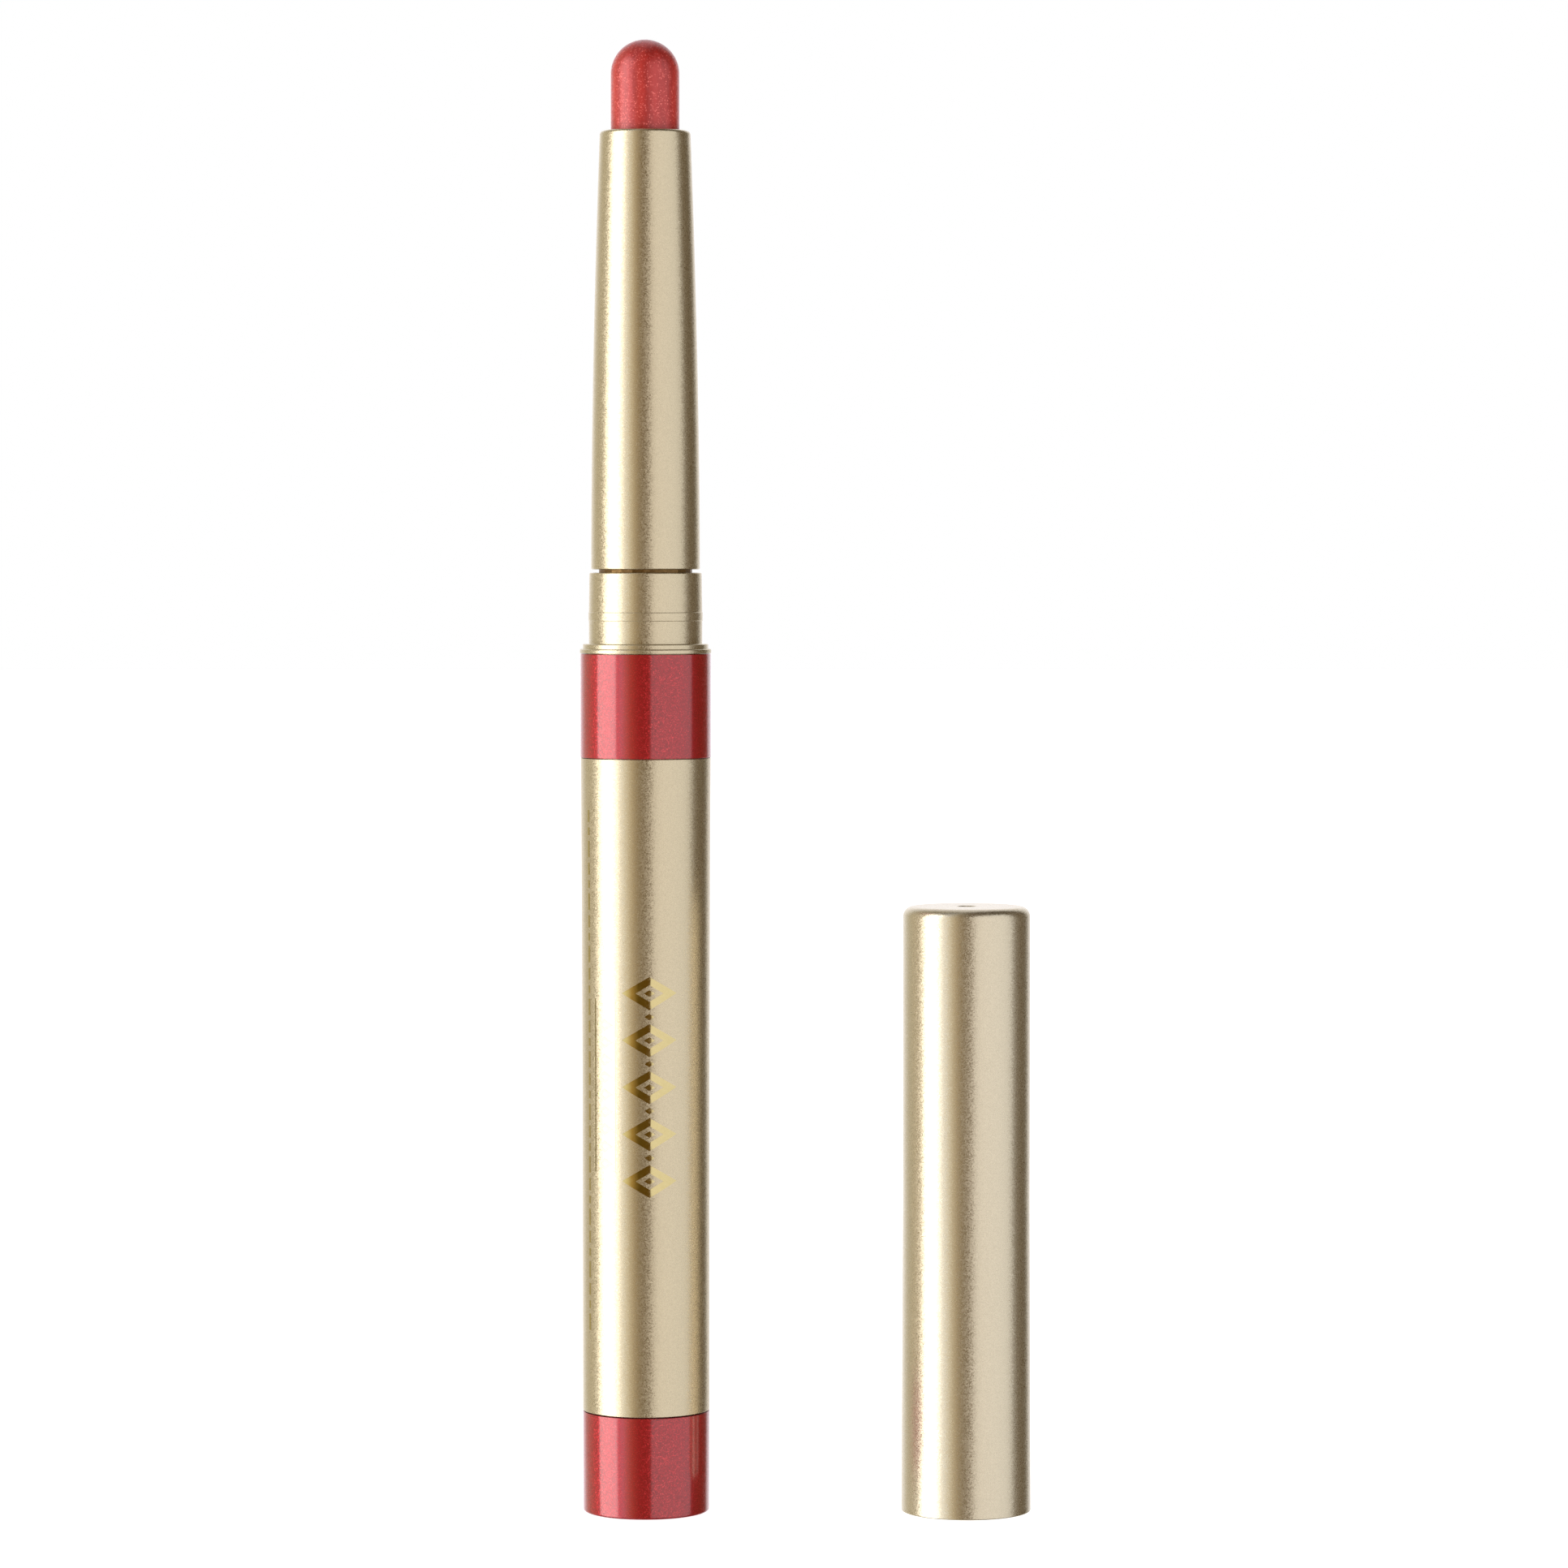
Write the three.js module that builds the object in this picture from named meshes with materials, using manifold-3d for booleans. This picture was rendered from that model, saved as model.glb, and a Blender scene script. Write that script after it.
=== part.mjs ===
// Twist-up lip crayon: a slim round case that feeds a stick of colour out of a tapered nozzle, with its
// pull-off cap standing beside it on its open end. Turning the nozzle against the barrel drives the two
// pins of the push rod along the helical grooves of a fixed sleeve, while a forked guide tube, which
// turns with the nozzle, carries the rod round and lets it slide.
// Millimetres, +Z up. The origin is the centre of the flat base of the pen, on the surface it stands on.
import * as THREE from 'three';
import { mergeVertices } from 'three/addons/utils/BufferGeometryUtils.js';
import Module from 'manifold-3d';

const wasm = await Module();
wasm.setup();

// ---------------------------------------------------------------- driving dimensions

const OUTER_SIDES = 36; // facets round the parts that show
const INNER_SIDES = 24; // facets round the parts inside
const PIN_SIDES = 12;

const SEAT_GAP = 0.05; // between pieces that are pressed or resting together
const RUNNING_GAP = 0.1; // between pieces that turn or slide on each other
const EDGE_R = 0.15; // small moulded edge radius

// Heights of the joint lines up the pen.
const PLUG_TOP = 9.25;
const BAND_BOTTOM = 69.2;
const BAND_TOP = 78.7;
const RIM_TOP = 79.15;
const STEP_TOP = 79.6; // the mouth of the cap lands here
const COLLAR_TOP = 86.05;
const NOZZLE_BOTTOM = 86.35;
const NOZZLE_TOP = 126.2;
const STICK_TIP = 134.5;

// Outside radii.
const PLUG_FOOT_R = 5.8;
const PLUG_TOP_R = 5.825;
const BARREL_TOP_R = 5.94;
const BAND_R = 5.98;
const RIM_R = 6;
const STEP_R = 5.735;
const COLLAR_R = 5.18;
const COLLAR_TOP_R = 5.13;
const NECK_R = 4.25; // of the guide tube, in the running gap under the nozzle
const NOZZLE_FOOT_R = 4.965;
const NOZZLE_LIP_R = 4.125;
const NOZZLE_TAPER_POWER = 1.8; // how late the nozzle draws in: 1 would be a plain cone
const STICK_R = 3.12;

// Snap bead round the collar.
const BEAD_R = 5.22;
const BEAD_BOTTOM = 81.6;
const BEAD_TOP = 82.35;

// Spiral sleeve, fixed in the barrel.
const SLEEVE_R = 5.05;
const SLEEVE_BORE_R = 3.95;
const SLEEVE_BOTTOM = 16;
const THREAD_LEAD = 6; // rise of a groove in one turn
const THREAD_STARTS = 2;
const THREAD_STEPS = 24; // in one turn
const GROOVE_R = 4.5;
const GROOVE_HALF_HEIGHT = 0.8;
const GROOVE_BOTTOM = 24.5; // middle of a groove at its lower end

// Collar's spigot, which carries the coloured ring and the barrel.
const SPIGOT_R = 5.3;
const SPIGOT_BORE_R = 4.75;
const SPIGOT_BOTTOM = 63;
const SHOULDER_Z = 78.9; // holds the guide tube's flange down

// Guide tube and friction ring.
const STICK_BORE_R = 3.25;
const FORK_R = 3.85;
const FORK_BOTTOM = 22;
const FORK_SLOT_TOP = 60.3;
const FORK_SLOT_WIDTH = 1.6;
const FLANGE_R = 4.65;
const RING_GROOVE = { bottom: 76.6, top: 77.6, land: 0.6, flange: 1.2 };
const GUIDE_NECK_TOP = 88.5;
const GUIDE_UPPER_R = 3.9;
const GUIDE_TOP = 116;
const FRICTION_RING_R = 4.3;
const FRICTION_RING_SECTION_R = 0.34;

// Push rod, cup and stick, with the tip wound out as far as the pen stands.
const PIN_Z = 35;
const PIN_R = 0.65;
const PIN_TIP_R = 4.3;
const ROD_DISC_R = 3.1;
const ROD_DISC_HALF_HEIGHT = 1.2;
const ROD_RIB_R = 3;
const ROD_RIB_THICKNESS = 1.2;
const CUP_R = 3.15;
const CUP_BOTTOM = 92;
const CUP_FLOOR = { bottom: 94, top: 95 };
const CUP_TOP = 98;
const CUP_BORE_R = 2.65;
const CUP_SOCKET_R = 1.6;

// Cap, measured up from its mouth.
const CAP_X = 29.35;
const CAP_HEIGHT = 55.55;
const CAP_MOUTH_R = 5.94;
const CAP_TOP_R = 5.82;
const CAP_CORNER_R = 0.95;
const CAP_BORE_R = 5.27;
const CAP_CEILING = 54.5;
const CAP_SNAP = { z: 1.4, radius: 5.2, halfHeight: 0.35 }; // catches under the collar's bead
const DIMPLE = { radius: 0.95, floorRadius: 0.55, depth: 0.3 };
const LINER_R = 5.2;
const LINER_BOTTOM = 32;
const LINER_MOUTH_R = 4.75;
const LINER_LAND = { bottom: 43.2, top: 44.6, radius: 4.29 }; // closes round the nozzle
const LINER_CHAMBER_R = 4.4;
const LINER_CEILING = 53.6;

const finishes = {
  gold: { color: 0xcbbd98, roughness: 0.35, metalness: 0.9 },
  red: { color: 0xa81e2c, roughness: 0.3, metalness: 0.35 },
  colour: { color: 0xc4484c, roughness: 0.5, metalness: 0.15 },
  natural: { color: 0xe9e6dd, roughness: 0.55, metalness: 0 },
  acetal: { color: 0xd8d4c8, roughness: 0.5, metalness: 0 },
  rubber: { color: 0x2b2a2a, roughness: 0.8, metalness: 0 },
};

// ---------------------------------------------------------------- helpers

const point = (radius, z) => new THREE.Vector2(radius, z);

// Profile points round a corner whose centre is (centreR, centreZ), between two angles in degrees.
function arc(centreR, centreZ, radius, from, to, steps) {
  return Array.from({ length: steps + 1 }, (_, i) => {
    const angle = THREE.MathUtils.degToRad(THREE.MathUtils.lerp(from, to, i / steps));
    return point(centreR + radius * Math.cos(angle), centreZ + radius * Math.sin(angle));
  });
}

// A body of revolution. The profile goes up the outside and down the inside, and it either starts and
// ends on the axis or is closed here.
function turned(profile, sides) {
  const onAxis = profile[0].x === 0;
  const outline = onAxis ? profile : [...profile, profile[0].clone()];
  return new THREE.LatheGeometry(outline, sides).rotateX(Math.PI / 2);
}

function tube(innerR, outerR, bottom, top, sides) {
  const profile = [point(outerR, bottom), point(outerR, top), point(innerR, top), point(innerR, bottom)];
  return turned(profile, sides);
}

function rod(radius, bottom, top, sides) {
  return new THREE.CylinderGeometry(radius, radius, top - bottom, sides)
    .rotateX(Math.PI / 2)
    .translate(0, 0, (bottom + top) / 2);
}

function box(sizeX, sizeY, bottom, top) {
  return new THREE.BoxGeometry(sizeX, sizeY, top - bottom).translate(0, 0, (bottom + top) / 2);
}

function toSolid(geometry) {
  const merged = mergeVertices(geometry.clone().deleteAttribute('normal').deleteAttribute('uv'));
  const mesh = new wasm.Mesh({
    numProp: 3,
    vertProperties: merged.attributes.position.array,
    triVerts: new Uint32Array(merged.index.array),
  });
  return new wasm.Manifold(mesh);
}

function toGeometry(solid) {
  const mesh = solid.getMesh();
  const geometry = new THREE.BufferGeometry();
  geometry.setAttribute('position', new THREE.BufferAttribute(mesh.vertProperties, 3));
  geometry.setIndex(new THREE.BufferAttribute(mesh.triVerts, 1));
  geometry.computeVertexNormals();
  return geometry;
}

function join(...geometries) {
  return toGeometry(geometries.map(toSolid).reduce((whole, next) => whole.add(next)));
}

function cut(body, ...cutters) {
  return toGeometry([body, ...cutters].map(toSolid).reduce((whole, next) => whole.subtract(next)));
}

function part(name, geometry, finish) {
  const mesh = new THREE.Mesh(geometry, new THREE.MeshStandardMaterial(finishes[finish]));
  mesh.name = name;
  return mesh;
}

// ---------------------------------------------------------------- barrel side, which stays still

function endPlug() {
  const footRound = 0.2;
  const spigotTop = SLEEVE_BOTTOM - SEAT_GAP;
  const boreR = 4.2;
  const floor = 1.4;
  return turned(
    [
      point(0, 0),
      ...arc(PLUG_FOOT_R - footRound, footRound, footRound, -90, 0, 3),
      point(PLUG_TOP_R, PLUG_TOP),
      point(SLEEVE_R, PLUG_TOP),
      point(SLEEVE_R, spigotTop),
      point(boreR, spigotTop),
      point(boreR, floor),
      point(0, floor),
    ],
    OUTER_SIDES,
  );
}

function barrelTube() {
  const jointLine = 0.1;
  const bottom = PLUG_TOP + jointLine;
  const top = BAND_BOTTOM - SEAT_GAP;
  const boreR = SLEEVE_R + SEAT_GAP;
  const seatR = SPIGOT_R + SEAT_GAP;
  const seatBottom = SPIGOT_BOTTOM - SEAT_GAP;
  return turned(
    [
      point(PLUG_TOP_R, bottom),
      point(BARREL_TOP_R, top),
      point(seatR, top),
      point(seatR, seatBottom),
      point(boreR, seatBottom),
      point(boreR, bottom),
    ],
    OUTER_SIDES,
  );
}

function shadeRing() {
  return tube(SPIGOT_R + SEAT_GAP, BAND_R, BAND_BOTTOM, BAND_TOP - SEAT_GAP, OUTER_SIDES);
}

// Snap neck for the cap, its two flanges, and the long spigot that the ring and the barrel fit round.
function collar() {
  const bevel = 0.1;
  const topBoreR = NECK_R + RUNNING_GAP;
  return turned(
    [
      point(SPIGOT_R, SPIGOT_BOTTOM),
      point(SPIGOT_R, BAND_TOP),
      point(RIM_R, BAND_TOP),
      point(RIM_R, RIM_TOP),
      point(STEP_R, RIM_TOP),
      point(STEP_R, STEP_TOP),
      point(COLLAR_R, STEP_TOP),
      point(COLLAR_R, BEAD_BOTTOM),
      point(BEAD_R, BEAD_BOTTOM + bevel),
      point(BEAD_R, BEAD_TOP),
      point(COLLAR_R, BEAD_TOP + bevel),
      ...arc(COLLAR_TOP_R - EDGE_R, COLLAR_TOP - EDGE_R, EDGE_R, 0, 90, 2),
      point(topBoreR, COLLAR_TOP),
      point(topBoreR, SHOULDER_Z),
      point(SPIGOT_BORE_R, SHOULDER_Z),
      point(SPIGOT_BORE_R, SPIGOT_BOTTOM),
    ],
    OUTER_SIDES,
  );
}

// A closed bar of rectangular section that climbs with the thread: the cutter for one groove.
function grooveCutter(startAngle, top) {
  const steps = Math.ceil(((top - GROOVE_BOTTOM) / THREAD_LEAD) * THREAD_STEPS);
  const innerR = SLEEVE_BORE_R - 0.3;
  const section = [
    [innerR, -GROOVE_HALF_HEIGHT],
    [GROOVE_R, -GROOVE_HALF_HEIGHT],
    [GROOVE_R, GROOVE_HALF_HEIGHT],
    [innerR, GROOVE_HALF_HEIGHT],
  ];
  const positions = [];
  for (let i = 0; i <= steps; i++) {
    const turn = i / THREAD_STEPS;
    const angle = startAngle + turn * 2 * Math.PI;
    for (const [radius, rise] of section) {
      const z = GROOVE_BOTTOM + turn * THREAD_LEAD + rise;
      positions.push(radius * Math.cos(angle), radius * Math.sin(angle), z);
    }
  }
  const faces = [0, 1, 2, 0, 2, 3];
  for (let i = 0; i < steps; i++) {
    for (let side = 0; side < 4; side++) {
      const a = 4 * i + side;
      const b = 4 * i + ((side + 1) % 4);
      faces.push(a, a + 4, b, b, a + 4, b + 4);
    }
  }
  const last = 4 * steps;
  faces.push(last, last + 2, last + 1, last, last + 3, last + 2);
  const geometry = new THREE.BufferGeometry();
  geometry.setAttribute('position', new THREE.Float32BufferAttribute(positions, 3));
  geometry.setIndex(faces);
  return geometry;
}

// The grooves are open at the top, where the pins drop in, and each one passes through the angle and
// height at which a pin stands.
function spiralSleeve() {
  const top = SPIGOT_BOTTOM - 2 * SEAT_GAP;
  const startAngle = ((GROOVE_BOTTOM - PIN_Z) / THREAD_LEAD) * 2 * Math.PI;
  const grooves = Array.from({ length: THREAD_STARTS }, (_, start) =>
    grooveCutter(startAngle + (start / THREAD_STARTS) * 2 * Math.PI, top + 2 * GROOVE_HALF_HEIGHT),
  );
  return cut(tube(SLEEVE_BORE_R, SLEEVE_R, SLEEVE_BOTTOM, top, THREAD_STEPS), ...grooves);
}

// ---------------------------------------------------------------- nozzle side, which turns

function nozzleRadius(z) {
  const t = (z - NOZZLE_BOTTOM) / (NOZZLE_TOP - NOZZLE_BOTTOM);
  return NOZZLE_FOOT_R - (NOZZLE_FOOT_R - NOZZLE_LIP_R) * t ** NOZZLE_TAPER_POWER;
}

function nozzleShell() {
  const lipRound = 0.35;
  const lipStart = NOZZLE_TOP - lipRound;
  const outside = [0, 0.35, 0.6, 0.8, 1].map((t) => {
    const z = THREE.MathUtils.lerp(NOZZLE_BOTTOM + EDGE_R, lipStart, t);
    return point(nozzleRadius(z), z);
  });
  const lip = arc(nozzleRadius(lipStart) - lipRound, lipStart, lipRound, 0, 90, 3).slice(1);
  const upperSeatR = GUIDE_UPPER_R + SEAT_GAP;
  const neckSeatR = NECK_R + SEAT_GAP;
  return turned(
    [
      point(NOZZLE_FOOT_R - EDGE_R, NOZZLE_BOTTOM),
      ...outside,
      ...lip,
      point(STICK_BORE_R + EDGE_R, NOZZLE_TOP),
      point(STICK_BORE_R, NOZZLE_TOP - EDGE_R),
      point(STICK_BORE_R, GUIDE_TOP + SEAT_GAP),
      point(upperSeatR, GUIDE_TOP + SEAT_GAP),
      point(upperSeatR, GUIDE_NECK_TOP + SEAT_GAP),
      point(neckSeatR, GUIDE_NECK_TOP + SEAT_GAP),
      point(neckSeatR, NOZZLE_BOTTOM),
    ],
    OUTER_SIDES,
  );
}

// Inner tube of the nozzle, with the groove for the friction ring, and a slot through its tail for the
// pins, which leaves the tail as a two-pronged fork.
function guideTube() {
  const { bottom, top, land, flange } = RING_GROOVE;
  const body = turned(
    [
      point(FORK_R, FORK_BOTTOM),
      point(FORK_R, bottom - land),
      point(FLANGE_R, bottom - land),
      point(FLANGE_R, bottom),
      point(FORK_R, bottom),
      point(FORK_R, top),
      point(FLANGE_R, top),
      point(FLANGE_R, top + flange),
      point(NECK_R, top + flange),
      point(NECK_R, GUIDE_NECK_TOP),
      point(GUIDE_UPPER_R, GUIDE_NECK_TOP),
      point(GUIDE_UPPER_R, GUIDE_TOP),
      point(STICK_BORE_R, GUIDE_TOP),
      point(STICK_BORE_R, FORK_BOTTOM),
    ],
    INNER_SIDES,
  );
  return cut(body, box(2 * FLANGE_R, FORK_SLOT_WIDTH, FORK_BOTTOM - 1, FORK_SLOT_TOP));
}

function frictionRing() {
  const middle = (RING_GROOVE.bottom + RING_GROOVE.top) / 2;
  const ring = new THREE.TorusGeometry(FRICTION_RING_R, FRICTION_RING_SECTION_R, 8, INNER_SIDES);
  return ring.translate(0, 0, middle);
}

// ---------------------------------------------------------------- stick and its carrier, which slide

function pushRod() {
  const discBottom = PIN_Z - ROD_DISC_HALF_HEIGHT;
  const discTop = PIN_Z + ROD_DISC_HALF_HEIGHT;
  const pins = new THREE.CylinderGeometry(PIN_R, PIN_R, 2 * PIN_TIP_R, PIN_SIDES)
    .rotateZ(Math.PI / 2)
    .translate(0, 0, PIN_Z);
  const ribTop = CUP_BOTTOM - SEAT_GAP;
  return join(
    rod(ROD_DISC_R, discBottom, discTop, INNER_SIDES),
    pins,
    box(2 * ROD_RIB_R, ROD_RIB_THICKNESS, PIN_Z, ribTop),
    box(ROD_RIB_THICKNESS, 2 * ROD_RIB_R, PIN_Z, ribTop),
    rod(CUP_SOCKET_R - SEAT_GAP, PIN_Z, CUP_FLOOR.bottom - SEAT_GAP, PIN_SIDES),
  );
}

function stickCup() {
  return turned(
    [
      point(0, CUP_FLOOR.bottom),
      point(CUP_SOCKET_R, CUP_FLOOR.bottom),
      point(CUP_SOCKET_R, CUP_BOTTOM),
      point(CUP_R, CUP_BOTTOM),
      point(CUP_R, CUP_TOP),
      point(CUP_BORE_R, CUP_TOP),
      point(CUP_BORE_R, CUP_FLOOR.top),
      point(0, CUP_FLOOR.top),
    ],
    INNER_SIDES,
  );
}

function colourStick() {
  const tailR = CUP_BORE_R - SEAT_GAP;
  const tailBottom = CUP_FLOOR.top + SEAT_GAP;
  const shoulder = CUP_TOP + SEAT_GAP;
  return turned(
    [
      point(0, tailBottom),
      point(tailR, tailBottom),
      point(tailR, shoulder),
      point(STICK_R, shoulder),
      ...arc(0, STICK_TIP - STICK_R, STICK_R, 0, 75, 5),
      point(0, STICK_TIP),
    ],
    OUTER_SIDES,
  );
}

// ---------------------------------------------------------------- cap

function capShell() {
  const cornerZ = CAP_HEIGHT - CAP_CORNER_R;
  return turned(
    [
      point(0, CAP_CEILING),
      point(CAP_BORE_R, CAP_CEILING),
      point(CAP_BORE_R, CAP_SNAP.z + CAP_SNAP.halfHeight),
      point(CAP_SNAP.radius, CAP_SNAP.z),
      point(CAP_BORE_R, CAP_SNAP.z - CAP_SNAP.halfHeight),
      point(CAP_BORE_R, 0),
      point(CAP_MOUTH_R - EDGE_R, 0),
      point(CAP_MOUTH_R, EDGE_R),
      ...arc(CAP_TOP_R - CAP_CORNER_R, cornerZ, CAP_CORNER_R, 0, 90, 4),
      point(DIMPLE.radius, CAP_HEIGHT),
      point(DIMPLE.floorRadius, CAP_HEIGHT - DIMPLE.depth),
      point(0, CAP_HEIGHT - DIMPLE.depth),
    ],
    OUTER_SIDES,
  );
}

// Soft inner cap that closes round the nozzle and keeps the stick from drying.
function capLiner() {
  const top = CAP_CEILING - SEAT_GAP;
  const chamberBottom = LINER_LAND.top + 0.4;
  return turned(
    [
      point(0, LINER_CEILING),
      point(LINER_CHAMBER_R, LINER_CEILING),
      point(LINER_CHAMBER_R, chamberBottom),
      point(LINER_LAND.radius, LINER_LAND.top),
      point(LINER_LAND.radius, LINER_LAND.bottom),
      point(LINER_MOUTH_R, LINER_BOTTOM),
      point(LINER_R, LINER_BOTTOM),
      point(LINER_R, top),
      point(0, top),
    ],
    OUTER_SIDES,
  );
}

// ---------------------------------------------------------------- assembly

const crayon = new THREE.Group();
crayon.add(
  part('end_plug', endPlug(), 'red'),
  part('barrel_tube', barrelTube(), 'gold'),
  part('shade_ring', shadeRing(), 'red'),
  part('collar', collar(), 'gold'),
  part('spiral_sleeve', spiralSleeve(), 'acetal'),
  part('nozzle_shell', nozzleShell(), 'gold'),
  part('guide_tube', guideTube(), 'gold'),
  part('friction_ring', frictionRing(), 'rubber'),
  part('push_rod', pushRod(), 'acetal'),
  part('stick_cup', stickCup(), 'natural'),
  part('colour_stick', colourStick(), 'colour'),
);

const cap = new THREE.Group();
cap.position.x = CAP_X;
cap.add(part('cap_shell', capShell(), 'gold'), part('cap_liner', capLiner(), 'natural'));
crayon.add(cap);

export default crayon;
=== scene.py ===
"""The looks of a twist-up lip crayon that stands beside its cap: turned surfaces, foil and materials.

Outlines are (radius, height, fillet) corners in millimetres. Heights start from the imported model's boxes.
"""

import math

import bmesh
import bpy
from mathutils import Matrix, Vector

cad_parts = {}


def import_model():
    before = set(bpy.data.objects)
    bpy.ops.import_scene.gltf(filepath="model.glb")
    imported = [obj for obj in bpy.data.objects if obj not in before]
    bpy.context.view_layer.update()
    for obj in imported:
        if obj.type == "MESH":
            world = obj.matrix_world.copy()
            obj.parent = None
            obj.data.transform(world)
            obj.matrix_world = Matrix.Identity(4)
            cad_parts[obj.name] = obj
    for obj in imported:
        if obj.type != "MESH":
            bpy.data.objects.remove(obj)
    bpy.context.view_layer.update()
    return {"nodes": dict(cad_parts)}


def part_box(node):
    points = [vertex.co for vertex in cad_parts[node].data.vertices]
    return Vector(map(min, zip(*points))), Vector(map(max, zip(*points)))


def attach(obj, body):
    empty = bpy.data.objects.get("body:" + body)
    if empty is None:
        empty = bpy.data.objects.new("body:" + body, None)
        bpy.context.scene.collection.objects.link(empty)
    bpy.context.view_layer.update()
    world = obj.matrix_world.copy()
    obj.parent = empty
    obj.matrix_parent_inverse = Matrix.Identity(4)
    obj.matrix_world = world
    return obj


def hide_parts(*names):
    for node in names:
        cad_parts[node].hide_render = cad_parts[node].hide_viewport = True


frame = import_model()

MM = 0.001
SEGMENTS = 192  # round each turned piece
SMOOTH_ANGLE = math.radians(32)  # edges sharper than this stay crisp

# ---------------------------------------------------------------- sizes, in millimetres

JOINT_LINE = 0.1  # between barrel and end plug
SEAT_GAP = 0.05  # between the ring and the rim that sits on it
TUBE_BORE = 5.1  # the barrel's bore, below the counterbore that takes the collar
RING_BORE = 5.35
BARREL_WAIST_R = 5.82
COLLAR_R = 5.18
COLLAR_TOP_R = 5.13
COLLAR_BORE = 4.35
BEAD_R = 5.22
STEP_R = 5.735
NOZZLE_LIP_R = 4.125
NOZZLE_BORE = 3.95
STICK_BORE = 3.25
CAP_WALL_TOP_R = 5.82
CAP_BORE = 5.27
CAP_SNAP_R = 5.2
CAP_CORNER_R = 0.95
CAP_ROOF = 1.05  # thickness over the bore
DIMPLE_R = 0.95
DIMPLE_FLOOR_R = 0.6
DIMPLE_DEPTH = 0.3
ON_AXIS = 1e-6  # a radius below this is a point on the axis


def span(node):
    """(lowest height, highest height, largest radius) of a turned CAD node."""
    low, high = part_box(node)
    return low.z / MM, high.z / MM, (high.y - low.y) / 2 / MM


def axis_of(node):
    low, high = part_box(node)
    return (low.x + high.x) / 2, (low.y + high.y) / 2


# ---------------------------------------------------------------- mesh helpers


def rounded(corners, steps=6):
    """Outline points for (radius, height) or (radius, height, fillet) corners, each fillet as an arc."""
    points = []
    for i, corner in enumerate(corners):
        here = Vector(corner[:2])
        fillet = corner[2] if len(corner) > 2 else 0
        if not fillet:
            points.append(here)
            continue
        before = (Vector(corners[i - 1][:2]) - here).normalized()
        after = (Vector(corners[(i + 1) % len(corners)][:2]) - here).normalized()
        half = before.angle(after) / 2
        centre = here + (before + after).normalized() * fillet / math.sin(half)
        start = here + before * fillet / math.tan(half) - centre
        end = here + after * fillet / math.tan(half) - centre
        sweep = start.angle(end)
        for k in range(steps + 1):
            turn = sweep * k / steps
            direction = start * math.sin(sweep - turn) + end * math.sin(turn)
            points.append(centre + direction / math.sin(sweep))
    return points


def new_piece(name, bm, body, materials, replaced=()):
    bmesh.ops.recalc_face_normals(bm, faces=bm.faces)
    mesh = bpy.data.meshes.new(name)
    bm.to_mesh(mesh)
    bm.free()
    mesh.shade_smooth()
    mesh.set_sharp_from_angle(angle=SMOOTH_ANGLE)
    for material in materials:
        mesh.materials.append(material)
    piece = bpy.data.objects.new(name, mesh)
    bpy.context.scene.collection.objects.link(piece)
    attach(piece, body)
    if replaced:
        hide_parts(*replaced)
    return piece


def turned(outline, axis=(0, 0)):
    """A bmesh of revolution. The outline goes up the outside and down the inside, in millimetres, and
    either starts and ends on the axis or is closed here."""
    bm = bmesh.new()
    rings = []
    for radius, height in outline:
        count = SEGMENTS if radius > ON_AXIS else 1
        ring = []
        for k in range(count):
            angle = 2 * math.pi * k / SEGMENTS
            x = axis[0] + radius * MM * math.cos(angle)
            y = axis[1] + radius * MM * math.sin(angle)
            ring.append(bm.verts.new((x, y, height * MM)))
        rings.append(ring)
    if len(rings[0]) > 1:
        rings.append(rings[0])
    for lower, upper in zip(rings, rings[1:]):
        for k in range(SEGMENTS):
            n = (k + 1) % SEGMENTS
            below = [lower[k % len(lower)], lower[n % len(lower)]]
            above = [upper[n % len(upper)], upper[k % len(upper)]]
            corners = list(dict.fromkeys(below + above))
            if len(corners) > 2:
                bm.faces.new(corners)
    return bm


# ---------------------------------------------------------------- materials


def set_socket(tree, socket, value):
    """Links a node's output to the socket, or sets the socket's value."""
    if isinstance(value, bpy.types.NodeSocket):
        tree.links.new(value, socket)
    else:
        socket.default_value = value


def add(tree, kind, **inputs):
    """A node with its sockets set, each named with _ for a space."""
    node = tree.nodes.new(kind)
    for name, value in inputs.items():
        set_socket(tree, node.inputs[name.replace("_", " ")], value)
    return node


def math_node(tree, operation, *values):
    node = tree.nodes.new("ShaderNodeMath")
    node.operation = operation
    for socket, value in zip(node.inputs, values):
        set_socket(tree, socket, value)
    return node.outputs[0]


def vector_node(tree, operation, *values):
    node = tree.nodes.new("ShaderNodeVectorMath")
    node.operation = operation
    for socket, value in zip(node.inputs, values):
        set_socket(tree, socket, value)
    return node.outputs[0]


def mix_colour(tree, factor, a, b, blend="MIX"):
    node = tree.nodes.new("ShaderNodeMix")
    node.data_type = "RGBA"
    node.blend_type = blend
    colours = [socket for socket in node.inputs if socket.type == "RGBA"]
    set_socket(tree, node.inputs[0], factor)
    set_socket(tree, colours[0], a)
    set_socket(tree, colours[1], b)
    return next(socket for socket in node.outputs if socket.type == "RGBA")


def remap(tree, value, source, target):
    """Stretches the source range (low, high) to the target range, and clamps what lies outside."""
    node = tree.nodes.new("ShaderNodeMapRange")
    for socket, number in zip(node.inputs, (value, *source, *target)):
        set_socket(tree, socket, number)
    return node.outputs[0]


def surface(name, **settings):
    """A new material with its Principled shader's sockets set. Returns (material, tree, shader)."""
    material = bpy.data.materials.new(name)
    material.use_nodes = True
    tree = material.node_tree
    shader = tree.nodes["Principled BSDF"]
    for socket, value in settings.items():
        shader.inputs[socket.replace("_", " ")].default_value = value
    return material, tree, shader


def object_place(tree, stretch=(1, 1, 1)):
    place = tree.nodes.new("ShaderNodeTexCoord").outputs["Object"]
    return vector_node(tree, "MULTIPLY", place, stretch)


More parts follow.
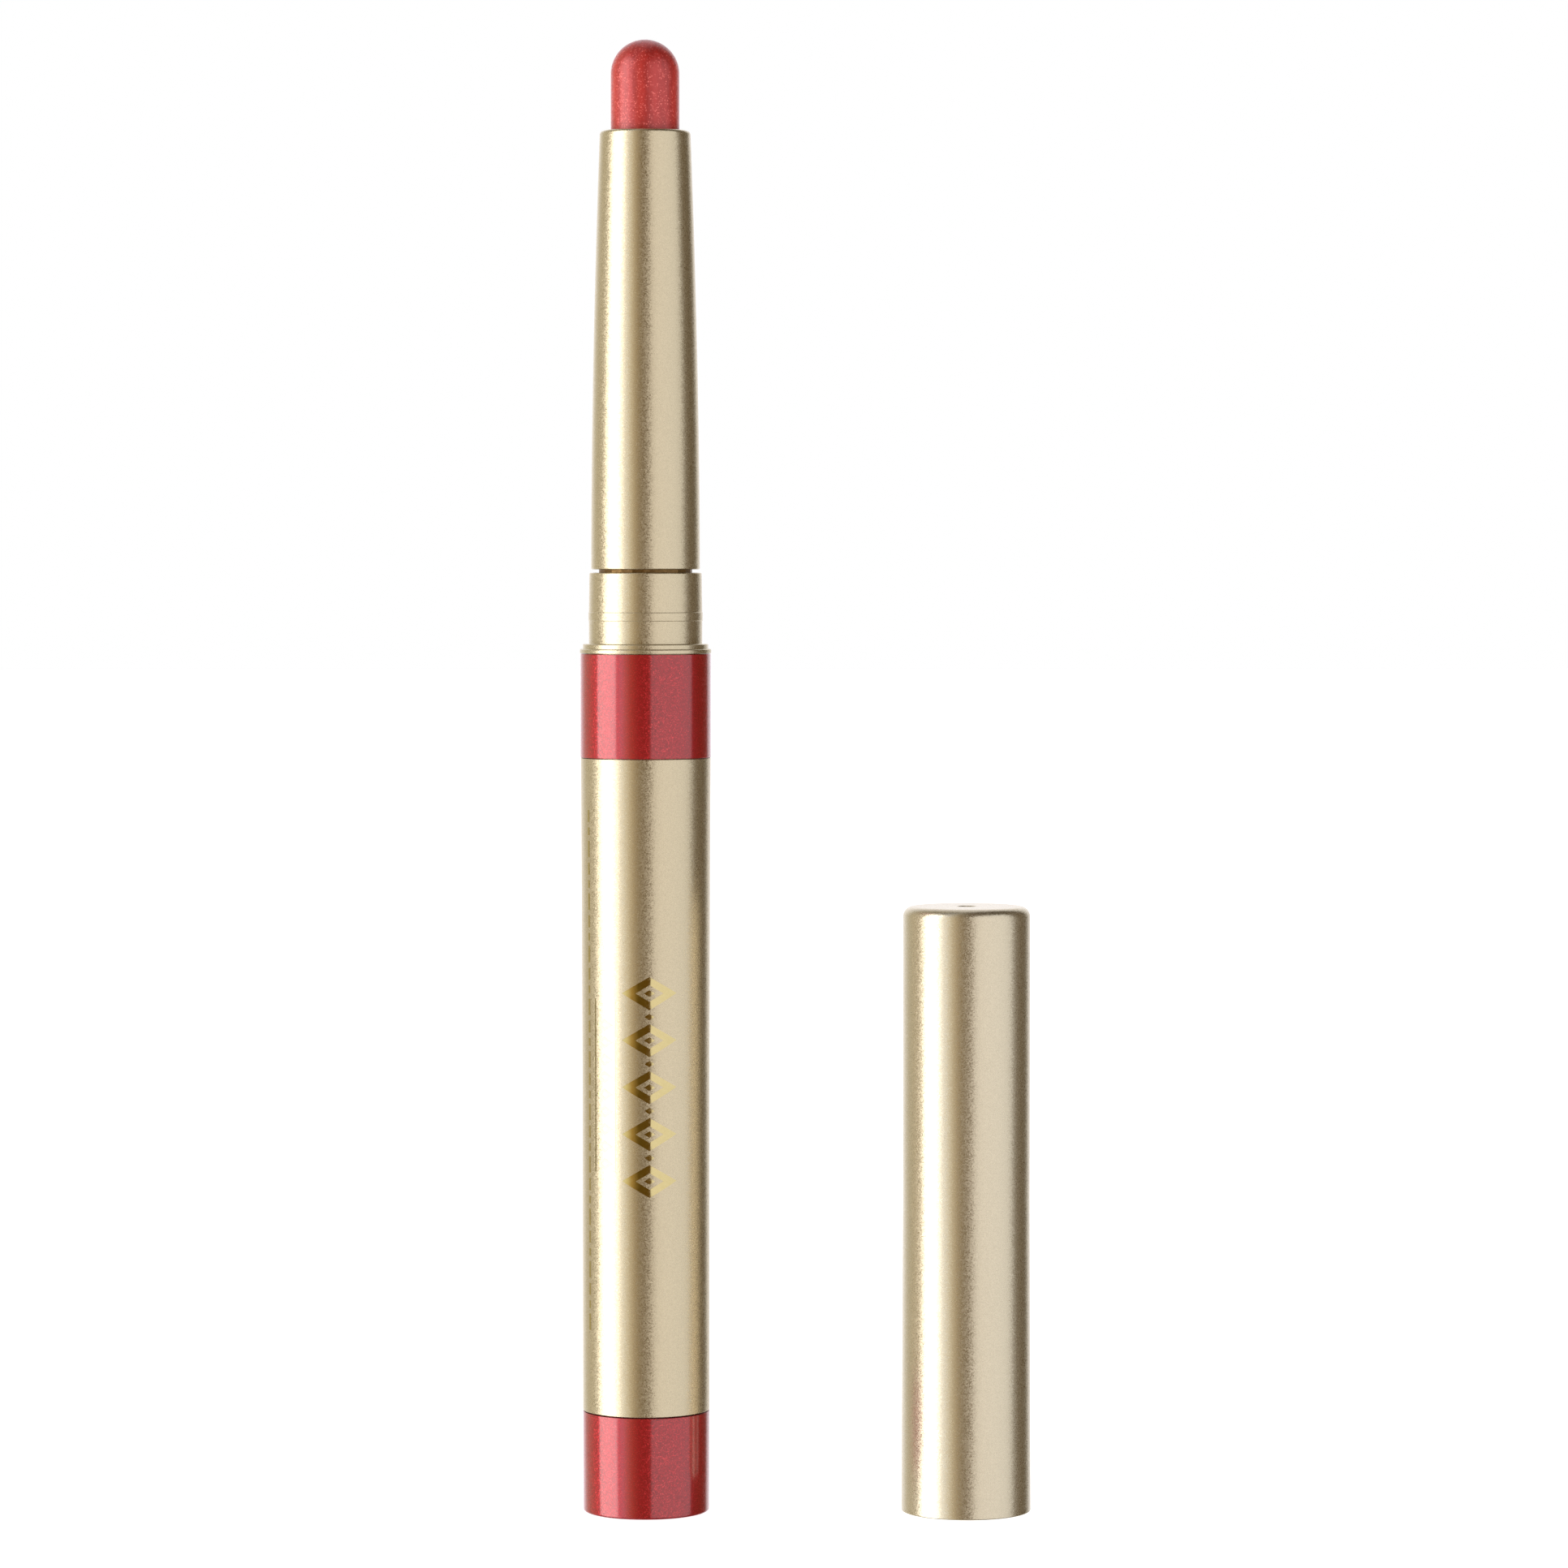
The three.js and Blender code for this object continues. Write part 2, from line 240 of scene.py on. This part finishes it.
def flakes(tree, size, tilt):
    """(a normal that tips by flake, a random number for each flake), for flakes size metres across."""
    cells = add(tree, "ShaderNodeTexVoronoi", Vector=object_place(tree), Scale=1 / size)
    centred = vector_node(tree, "SUBTRACT", cells.outputs["Color"], (0.5, 0.5, 0.5))
    scaled = vector_node(tree, "MULTIPLY", centred, (tilt, tilt, tilt))
    geometry = tree.nodes.new("ShaderNodeNewGeometry")
    tipped = vector_node(tree, "ADD", scaled, geometry.outputs["Normal"])
    number = tree.nodes.new("ShaderNodeSeparateColor")
    tree.links.new(cells.outputs["Color"], number.inputs[0])
    return vector_node(tree, "NORMALIZE", tipped), number.outputs[0]


def noise(tree, scale, detail=2.0, stretch=(1, 1, 1)):
    place = object_place(tree, stretch)
    cloud = add(tree, "ShaderNodeTexNoise", Vector=place, Scale=scale, Detail=detail)
    return cloud.outputs[0]


def gold_lacquer(name, colour):
    """Satin gold spray: fine flakes in a lacquer, with a trace of cloudiness in the coat."""
    material, tree, shader = surface(name, Metallic=0.93)
    normal, number = flakes(tree, size=0.00008, tilt=0.085)
    flake = remap(tree, number, (0, 1), (0.92, 1.08))
    mottled = remap(tree, noise(tree, 3500.0, detail=3.0), (0.3, 0.7), (0.985, 1.015))
    level = math_node(tree, "MULTIPLY", flake, mottled)
    gold = mix_colour(tree, 1.0, colour + (1,), level, "MULTIPLY")
    tree.links.new(gold, shader.inputs["Base Color"])
    tree.links.new(remap(tree, number, (0, 1), (0.25, 0.37)), shader.inputs["Roughness"])
    tree.links.new(normal, shader.inputs["Normal"])
    return material


def gold_moulding():
    """Plastic coloured with gold mica, duller and browner than the lacquered pieces: painted shade, for the
    shadow in the narrow gap where the guide tube shows.
    """
    material, tree, shader = surface("gold_moulding", Metallic=0.7)
    normal, number = flakes(tree, size=0.00013, tilt=0.15)
    level = remap(tree, number, (0, 1), (0.85, 1.1))
    # painted shade: a darker, browner gold than the lacquer
    gold = mix_colour(tree, 1.0, (0.26, 0.15, 0.05, 1), level, "MULTIPLY")
    tree.links.new(gold, shader.inputs["Base Color"])
    tree.links.new(remap(tree, noise(tree, 2500.0), (0.3, 0.7), (0.36, 0.46)), shader.inputs["Roughness"])
    tree.links.new(normal, shader.inputs["Normal"])
    return material


def red_pearl():
    """Deep red pearl under a clear coat: fine bright flakes in a darker red."""
    coat = {"Coat_Weight": 1.0, "Coat_Roughness": 0.14, "Coat_IOR": 1.65}
    material, tree, shader = surface("red_pearl", **coat)
    normal, number = flakes(tree, size=0.00008, tilt=0.2)
    glint = remap(tree, number, (0.8, 1.0), (0, 1))
    shade = remap(tree, number, (0, 0.8), (0, 1))
    base = mix_colour(tree, shade, (0.23, 0.001, 0.003, 1), (0.39, 0.002, 0.008, 1))
    colour = mix_colour(tree, glint, base, (0.62, 0.035, 0.04, 1))
    tree.links.new(colour, shader.inputs["Base Color"])
    tree.links.new(remap(tree, glint, (0, 1), (0.42, 0.34)), shader.inputs["Roughness"])
    tree.links.new(remap(tree, glint, (0, 1), (0.6, 0.85)), shader.inputs["Metallic"])
    tree.links.new(normal, shader.inputs["Normal"])
    return material


def colour_wax():
    """Rosy red shimmer wax, with streaks along the stick from the pouring."""
    material, tree, shader = surface("colour_wax", Metallic=0.2, Coat_Weight=0.5, Coat_Roughness=0.3)
    normal, number = flakes(tree, size=0.0001, tilt=0.22)
    streak = remap(tree, noise(tree, 1600.0, detail=4.0, stretch=(1, 1, 0.12)), (0.35, 0.65), (0, 1))
    shade = mix_colour(tree, streak, (0.33, 0.014, 0.011, 1), (0.44, 0.024, 0.019, 1))
    glint = remap(tree, number, (0.85, 1.0), (0, 1))
    colour = mix_colour(tree, glint, shade, (0.75, 0.13, 0.11, 1))
    tree.links.new(colour, shader.inputs["Base Color"])
    tree.links.new(remap(tree, number, (0, 1), (0.34, 0.44)), shader.inputs["Roughness"])
    tree.links.new(normal, shader.inputs["Normal"])
    return material


def moulded(name, colour, roughness):
    """Plain moulded plastic or rubber: a fine spark-eroded texture and a slight change of tone."""
    tone, spread, depth = 0.93, 0.06, 0.00002
    material, tree, shader = surface(name)
    grain = noise(tree, 9000.0)
    darker = tuple(tone * c for c in colour) + (1,)
    shade = mix_colour(tree, noise(tree, 250.0), colour + (1,), darker)
    tree.links.new(shade, shader.inputs["Base Color"])
    rough = remap(tree, grain, (0.3, 0.7), (roughness - spread, roughness + spread))
    tree.links.new(rough, shader.inputs["Roughness"])
    texture = add(tree, "ShaderNodeBump", Strength=0.4, Distance=depth, Height=grain)
    tree.links.new(texture.outputs[0], shader.inputs["Normal"])
    return material


def gold_foil():
    """Hot-stamped mirror foil, a little uneven where it is pressed on."""
    material, tree, shader = surface("gold_foil", Metallic=1.0)
    grain = noise(tree, 4000.0)
    shade = mix_colour(tree, grain, (0.62, 0.51, 0.24, 1), (0.7, 0.59, 0.3, 1))
    tree.links.new(shade, shader.inputs["Base Color"])
    tree.links.new(remap(tree, grain, (0.3, 0.7), (0.06, 0.14)), shader.inputs["Roughness"])
    return material


LOOKS = {
    "gold_lacquer": gold_lacquer("gold_lacquer", (0.62, 0.53, 0.365)),
    # Painted light: the cap's gold is a paler, cooler copy of the lacquer, standing in for the brighter
    # light that falls on the cap
    "gold_lacquer_cap_lit": gold_lacquer("gold_lacquer_cap_lit", (0.66, 0.58, 0.43)),
    "gold_moulding": gold_moulding(),
    "red_pearl": red_pearl(),
    "colour_stick": colour_wax(),
    "natural_plastic": moulded("natural_plastic", (0.8, 0.78, 0.71), 0.42),
    "acetal": moulded("acetal", (0.76, 0.74, 0.66), 0.36),
    "rubber": moulded("rubber", (0.025, 0.025, 0.025), 0.6),
    "gold_foil": gold_foil(),
}


def piece(name, outline, body, slot, node, axis=(0, 0), look=None):
    return new_piece(name, turned(outline, axis), body, [look or LOOKS[slot]], [node])


# ---------------------------------------------------------------- the pen's barrel


def end_plug():
    """The plug, hollow from above, with the mark of its moulding gate under its foot."""
    low, spigot_top, _ = span("end_plug")
    top = span("barrel_tube")[0] - JOINT_LINE
    gate_r, gate_depth, gate_slope = 0.5, 0.06, 0.05
    foot_r, shoulder_r, hollow_r = 5.8, 5.825, 4.2
    spigot_r = TUBE_BORE - SEAT_GAP
    floor = low + 1.4
    outline = rounded(
        [
            (0, low + gate_depth),
            (gate_r, low + gate_depth, 0.04),
            (gate_r + gate_slope, low, 0.03),
            (foot_r, low, 0.25),
            (shoulder_r, top, 0.05),
            (spigot_r, top),
            (spigot_r, spigot_top, 0.2),
            (hollow_r, spigot_top, 0.1),
            (hollow_r, floor, 0.3),
            (0, floor),
        ]
    )
    return piece("end_plug_fine", outline, "barrel", "red_pearl", "end_plug")


def barrel_radius(height):
    """The barrel is nearly straight low down and swells to its full radius under the ring."""
    low, top, top_r = span("barrel_tube")
    return BARREL_WAIST_R + (top_r - BARREL_WAIST_R) * ((height - low) / (top - low)) ** 3


def barrel_tube():
    low, top, top_r = span("barrel_tube")
    step = span("collar")[0] - SEAT_GAP
    rows = 24
    heights = [low + (top - low) * i / rows for i in range(1, rows)]
    outline = rounded(
        [
            (TUBE_BORE, low),
            (BARREL_WAIST_R, low, 0.06),
            *[(barrel_radius(height), height) for height in heights],
            (top_r, top, 0.05),
            (RING_BORE, top),
            (RING_BORE, step),
            (TUBE_BORE, step),
        ]
    )
    return piece("barrel_tube_fine", outline, "barrel", "gold_lacquer", "barrel_tube")


def shade_ring():
    low, top, radius = span("shade_ring")
    outline = rounded([(RING_BORE, low), (radius, low, 0.05), (radius, top, 0.05), (RING_BORE, top)])
    return piece("shade_ring_fine", outline, "barrel", "red_pearl", "shade_ring")


def collar():
    """The snap neck: a spigot below, a rim, a step, and a low bead that holds the cap."""
    low, top, rim_r = span("collar")
    foot = span("shade_ring")[1] + SEAT_GAP
    rim_top, step_top = foot + 0.4, foot + 0.85
    bead_bottom, bead_top, bead_slope = foot + 2.95, foot + 3.75, 0.05
    shoulder = foot + 0.15
    spigot_r, spigot_bore = 5.3, 4.75
    outline = rounded(
        [
            (spigot_bore, low),
            (spigot_r, low, 0.1),
            (spigot_r, foot),
            (rim_r, foot, 0.06),
            (rim_r, rim_top, 0.12),
            (STEP_R, rim_top, 0.03),
            (STEP_R, step_top, 0.1),
            (COLLAR_R, step_top, 0.06),
            (COLLAR_R, bead_bottom, 0.02),
            (BEAD_R, bead_bottom + bead_slope, 0.03),
            (BEAD_R, bead_top - bead_slope, 0.03),
            (COLLAR_R, bead_top, 0.02),
            (COLLAR_TOP_R, top, 0.15),
            (COLLAR_BORE, top, 0.08),
            (COLLAR_BORE, shoulder),
            (spigot_bore, shoulder),
        ]
    )
    return piece("collar_fine", outline, "barrel", "gold_lacquer", "collar")


# ---------------------------------------------------------------- the foil ornament on the barrel

FOIL_PROUD = 0.012
FOIL_SUNK = 0.03  # its back lies under the lacquer
FOIL_STRIP = 0.3  # widest flat stretch of foil round the barrel
SNAP = 0.001  # points of the foil's outline closer than this are one
MOTIF = {  # "half" is half a lozenge's width and height, and "open" and "core" are shares of its size
    "count": 5,
    "lowest": 30.9,
    "pitch": 4.27,
    "across": 0.45,
    "half": (2.55, 1.5),
    "open": 0.5,
    "core": 0.2,
    "link": (0.45, 0.3),
}
BORDER = {
    "across": -3.95,
    "bottom": 31.6,
    "top": 47.4,
    "pitch": 1.58,
    "half": (0.9, 0.55),
    "open": 0.45,
    "rail": 1.15,
    "rail_width": 0.12,
}
DASHES = {
    "across": -6.1,
    "bottom": 17.0,
    "top": 64.0,
    "lengths": (1.5, 0.7, 1.1),
    "gap": 0.5,
    "width": 0.3,
}


def lozenge(across, height, half_width, half_height):
    left, right = (across - half_width, height), (across + half_width, height)
    return [left, (across, height - half_height), right, (across, height + half_height)]


def lozenge_frame(across, height, half_width, half_height, share):
    """Four flat strips round a lozenge, whose opening is share of its size."""
    outer = lozenge(across, height, half_width, half_height)
    inner = lozenge(across, height, half_width * share, half_height * share)
    return [[outer[i - 1], outer[i], inner[i], inner[i - 1]] for i in range(4)]


def bar(across, bottom, top, width):
    left, right = across - width / 2, across + width / 2
    return [(left, bottom), (right, bottom), (right, top), (left, top)]


def foil_piece(name, shapes):
    """Thin closed patches pressed on the barrel. A shape's points are (millimetres round the barrel
    from its front, height)."""
    bm = bmesh.new()
    for shape in shapes:
        bm.faces.new([bm.verts.new((across, height, 0)) for across, height in shape])
    bmesh.ops.remove_doubles(bm, verts=bm.verts[:], dist=SNAP)
    cut = min(v.co.x for v in bm.verts) + FOIL_STRIP
    last = max(v.co.x for v in bm.verts)
    while cut < last:
        everything = bm.verts[:] + bm.edges[:] + bm.faces[:]
        bmesh.ops.bisect_plane(bm, geom=everything, dist=SNAP, plane_co=(cut, 0, 0), plane_no=(1, 0, 0))
        cut += FOIL_STRIP
    fronts = set(bm.verts)
    bmesh.ops.extrude_face_region(bm, geom=bm.faces[:], use_keep_orig=True)
    for vert in bm.verts:
        offset = FOIL_PROUD if vert in fronts else -FOIL_SUNK
        radius = barrel_radius(vert.co.y) + offset
        angle = vert.co.x / BARREL_WAIST_R
        vert.co = Vector((radius * math.sin(angle), -radius * math.cos(angle), vert.co.y)) * MM
    return new_piece(name, bm, "barrel", [LOOKS["gold_foil"]])


def foil_motifs():
    """Open lozenges up the front, with a small solid one inside each and between them."""
    across, (half_width, half_height), core = MOTIF["across"], MOTIF["half"], MOTIF["core"]
    shapes = []
    for i in range(MOTIF["count"]):
        height = MOTIF["lowest"] + i * MOTIF["pitch"]
        shapes += lozenge_frame(across, height, half_width, half_height, MOTIF["open"])
        shapes.append(lozenge(across, height, half_width * core, half_height * core))
        if i:
            shapes.append(lozenge(across, height - MOTIF["pitch"] / 2, *MOTIF["link"]))
    return foil_piece("foil_motifs", shapes)


def foil_border():
    """A row of small lozenges between two hairlines."""
    across, bottom, top = BORDER["across"], BORDER["bottom"], BORDER["top"]
    rails = (across - BORDER["rail"], across + BORDER["rail"])
    shapes = [bar(rail, bottom, top, BORDER["rail_width"]) for rail in rails]
    for i in range(int((top - bottom) / BORDER["pitch"])):
        height = bottom + (i + 0.5) * BORDER["pitch"]
        shapes += lozenge_frame(across, height, *BORDER["half"], BORDER["open"])
    return foil_piece("foil_border", shapes)


def foil_dashes():
    """A broken hairline near the barrel's side."""
    shapes = []
    bottom = DASHES["bottom"]
    while bottom < DASHES["top"]:
        length = DASHES["lengths"][len(shapes) % len(DASHES["lengths"])]
        shapes.append(bar(DASHES["across"], bottom, bottom + length, DASHES["width"]))
        bottom += length + DASHES["gap"]
    return foil_piece("foil_dashes", shapes)


# ---------------------------------------------------------------- the nozzle and the stick


def nozzle_shell():
    """The nozzle draws in slowly at first and faster near its lip."""
    low, top, foot_r = span("nozzle_shell")
    guide_top = span("guide_tube")[1] + SEAT_GAP
    socket_top = low + 2.2
    neck_bore = 4.3
    taper_power = 1.8
    rows = 24
    side = []
    for i in range(1, rows):
        t = i / rows
        side.append((foot_r - (foot_r - NOZZLE_LIP_R) * t**taper_power, low + (top - low) * t))
    outline = rounded(
        [
            (neck_bore, low, 0.05),
            (foot_r, low, 0.12),
            *side,
            (NOZZLE_LIP_R, top, 0.35),
            (STICK_BORE, top, 0.12),
            (STICK_BORE, guide_top),
            (NOZZLE_BORE, guide_top),
            (NOZZLE_BORE, socket_top),
            (neck_bore, socket_top),
        ]
    )
    return piece("nozzle_shell_fine", outline, "nozzle", "gold_lacquer", "nozzle_shell")


def colour_stick():
    low, tip, radius = span("colour_stick")
    rows = 28
    dome = []
    for i in range(rows):
        angle = math.pi / 2 * i / rows
        dome.append((radius * math.cos(angle), tip - radius + radius * math.sin(angle)))
    shoulder = span("stick_cup")[1] + SEAT_GAP
    foot_r = 2.6
    outline = rounded(
        [
            (0, low),
            (foot_r, low, 0.2),
            (foot_r, shoulder),
            (radius, shoulder, 0.1),
            *dome,
            (0, tip),
        ]
    )
    return piece("colour_stick_fine", outline, "carrier", "colour_stick", "colour_stick")


# ---------------------------------------------------------------- the cap


def cap_shell():
    """The cap's tube, with a snap ridge in its mouth and a gate dimple in the middle of its top."""
    low, top, mouth_r = span("cap_shell")
    ceiling = top - CAP_ROOF
    snap, snap_slope = low + 1.4, 0.35
    straight = top * 0.5  # the wall tapers up to here
    outline = rounded(
        [
            (0, ceiling),
            (CAP_BORE, ceiling, 0.2),
            (CAP_BORE, snap + snap_slope, 0.1),
            (CAP_SNAP_R, snap, 0.1),
            (CAP_BORE, snap - snap_slope, 0.1),
            (CAP_BORE, low, 0.12),
            (mouth_r, low, 0.12),
            (CAP_WALL_TOP_R, straight),
            (CAP_WALL_TOP_R, top, CAP_CORNER_R),
            (DIMPLE_R, top, 0.12),
            (DIMPLE_FLOOR_R, top - DIMPLE_DEPTH, 0.15),
            (0, top - DIMPLE_DEPTH),
        ],
        steps=10,
    )
    # the cap wears the paler copy of the gold, which is painted light
    axis, look = axis_of("cap_shell"), LOOKS["gold_lacquer_cap_lit"]
    return piece("cap_shell_fine", outline, "cap", "gold_lacquer", "cap_shell", axis, look)


def cap_liner():
    """The soft inner cap, whose land closes round the nozzle."""
    low, top, radius = span("cap_liner")
    ceiling = top - 0.85
    land_bottom, land_top, land_slope = low + 11.2, low + 12.6, 0.4
    bore, land_r, mouth_r = 4.4, 4.29, 4.75
    outline = rounded(
        [
            (0, ceiling),
            (bore, ceiling, 0.3),
            (bore, land_top + land_slope, 0.2),
            (land_r, land_top, 0.2),
            (land_r, land_bottom, 0.4),
            (mouth_r, low, 0.12),
            (radius, low, 0.15),
            (radius, top, 0.2),
            (0, top),
        ]
    )
    return piece("cap_liner_fine", outline, "cap", "natural_plastic", "cap_liner", axis_of("cap_liner"))


for make in (end_plug, barrel_tube, shade_ring, collar, nozzle_shell, colour_stick):
    make()
for make in (cap_shell, cap_liner, foil_motifs, foil_border, foil_dashes):
    make()

for node, name in (
    ("spiral_sleeve", "acetal"),
    # the guide tube shows only in the running gap, and its darker gold paints the gap's shade
    ("guide_tube", "gold_moulding"),
    ("friction_ring", "rubber"),
    ("push_rod", "acetal"),
    ("stick_cup", "natural_plastic"),
):
    mesh = frame["nodes"][node].data
    mesh.materials.clear()
    mesh.materials.append(LOOKS[name])
    mesh.shade_smooth()
    mesh.set_sharp_from_angle(angle=SMOOTH_ANGLE)

# ---------------------------------------------------------------- floor, lights and camera

FLOOR_SIZE = 8.0
FLOOR_DROP = 0.00005
FLOOR_TONE = 0.8
FLOOR_GLOW = 0.9
LIGHT_HEIGHT = 0.07  # middle of each softbox, in metres
LIGHT_DISTANCE = 0.8
SOFTBOX_HEIGHT = 1.6
OVERHEAD_LEVEL = 0.6  # of the surroundings, straight up and straight down
CAMERA = {"place": (12.64, -518.9, 87.2), "pitch": 2.258, "lens": 130.4}
WHITE = (1.0, 1.0, 1.0)
BACKLIGHT = (1.4, 1.4, 1.5)
SURROUNDINGS = (  # (azimuth, colour): 0 is the camera's side, and positive is to the right
    (-180, BACKLIGHT),
    (-168, BACKLIGHT),
    (-147, WHITE),
    (-134, (0.6, 0.56, 0.44)),
    (-112, (0.48, 0.42, 0.28)),
    (-94, (0.2, 0.18, 0.14)),
    (-52, (0.6, 0.62, 0.7)),
    (-43, (1.1, 1.18, 1.36)),
    (-34, (0.95, 0.88, 0.66)),
    (-24, (0.5, 0.34, 0.13)),
    (-12, (0.14, 0.085, 0.015)),
    (10, (0.15, 0.08, 0.012)),
    (90, (0.06, 0.04, 0.01)),
    (98, (0.12, 0.07, 0.01)),
    (138, (0.08, 0.05, 0.01)),
    (147, WHITE),
    (168, BACKLIGHT),
    (180, BACKLIGHT),
)


def floor():
    """A pale floor that stays out of reflections, so that the object stands on plain white."""
    bm = bmesh.new()
    place = Matrix.Translation((0, 0, -FLOOR_DROP))
    bmesh.ops.create_grid(bm, x_segments=2, y_segments=2, size=FLOOR_SIZE / 2, matrix=place)
    mesh = bpy.data.meshes.new("floor")
    bm.to_mesh(mesh)
    bm.free()
    material = bpy.data.materials.new("floor_white")
    material.use_nodes = True
    tree = material.node_tree
    tree.nodes.clear()
    output = tree.nodes.new("ShaderNodeOutputMaterial")
    diffuse = add(tree, "ShaderNodeBsdfDiffuse", Color=(FLOOR_TONE, FLOOR_TONE, FLOOR_TONE, 1))
    glow = add(tree, "ShaderNodeEmission", Color=WHITE + (1,), Strength=FLOOR_GLOW)
    both = tree.nodes.new("ShaderNodeAddShader")
    tree.links.new(diffuse.outputs[0], both.inputs[0])
    tree.links.new(glow.outputs[0], both.inputs[1])
    tree.links.new(both.outputs[0], output.inputs["Surface"])
    mesh.materials.append(material)
    ground = bpy.data.objects.new("floor", mesh)
    bpy.context.scene.collection.objects.link(ground)
    ground.visible_glossy = False
    ground.visible_shadow = False


def softbox(name, start, end, radiance, colour):
    """An area lamp that faces the pen and fills the azimuths from start to end, in degrees."""
    width = 2 * LIGHT_DISTANCE * math.tan(math.radians(end - start) / 2)
    lamp = bpy.data.lights.new(name, "AREA")
    lamp.shape = "RECTANGLE"
    lamp.size = width
    lamp.size_y = SOFTBOX_HEIGHT
    lamp.color = colour
    lamp.energy = radiance * math.pi * width * SOFTBOX_HEIGHT
    box = bpy.data.objects.new(name, lamp)
    azimuth = math.radians((start + end) / 2)
    away = Vector((math.sin(azimuth), -math.cos(azimuth), 0))
    box.location = away * LIGHT_DISTANCE + Vector((0, 0, LIGHT_HEIGHT))
    box.rotation_euler = away.to_track_quat("Z", "Y").to_euler()
    box.visible_camera = False
    bpy.context.scene.collection.objects.link(box)


def surroundings_ramp(tree, direction):
    """The studio's colour round the object, by azimuth."""
    back = math_node(tree, "MULTIPLY", direction.outputs[1], -1.0)
    angle = math_node(tree, "ARCTAN2", direction.outputs[0], back)
    ramp = add(tree, "ShaderNodeValToRGB", Fac=remap(tree, angle, (-math.pi, math.pi), (0, 1)))
    stops = ramp.color_ramp.elements
    for azimuth, colour in SURROUNDINGS[1:-1]:
        stops.new((azimuth + 180) / 360).color = colour + (1,)
    stops[0].color = SURROUNDINGS[0][1] + (1,)
    stops[-1].color = SURROUNDINGS[-1][1] + (1,)
    return ramp.outputs[0]


def world():
    """White for the camera. Reflections see the surroundings, dimmer towards straight up and down."""
    studio = bpy.data.worlds.new("studio")
    bpy.context.scene.world = studio
    studio.use_nodes = True
    tree = studio.node_tree
    tree.nodes.clear()
    place = tree.nodes.new("ShaderNodeTexCoord").outputs["Generated"]
    direction = add(tree, "ShaderNodeSeparateXYZ", Vector=place)
    steepness = math_node(tree, "ABSOLUTE", direction.outputs[2])
    level = remap(tree, steepness, (0.3, 0.85), (1.0, OVERHEAD_LEVEL))
    colour = surroundings_ramp(tree, direction)
    dim = add(tree, "ShaderNodeBackground", Color=colour, Strength=level)
    white = add(tree, "ShaderNodeBackground", Color=WHITE + (1,), Strength=1.0)
    path = tree.nodes.new("ShaderNodeLightPath")
    mix = tree.nodes.new("ShaderNodeMixShader")
    tree.links.new(path.outputs["Is Camera Ray"], mix.inputs[0])
    tree.links.new(dim.outputs[0], mix.inputs[1])
    tree.links.new(white.outputs[0], mix.inputs[2])
    output = tree.nodes.new("ShaderNodeOutputWorld")
    tree.links.new(mix.outputs[0], output.inputs["Surface"])


def camera():
    lens = bpy.data.cameras.new("camera")
    lens.sensor_width = 36
    lens.lens = CAMERA["lens"]
    lens.clip_start = 0.01
    lens.clip_end = 50
    eye = bpy.data.objects.new("camera", lens)
    eye.location = Vector(CAMERA["place"]) * MM
    eye.rotation_euler = (math.radians(90 - CAMERA["pitch"]), 0, 0)
    bpy.context.scene.collection.objects.link(eye)
    bpy.context.scene.camera = eye


floor()
softbox("key_light", start=-92.5, end=-52.5, radiance=3.1, colour=WHITE)
softbox("fill_light", start=10, end=90, radiance=0.97, colour=(1.0, 1.04, 1.12))
world()
camera()
bpy.context.scene.view_settings.view_transform = "Standard"
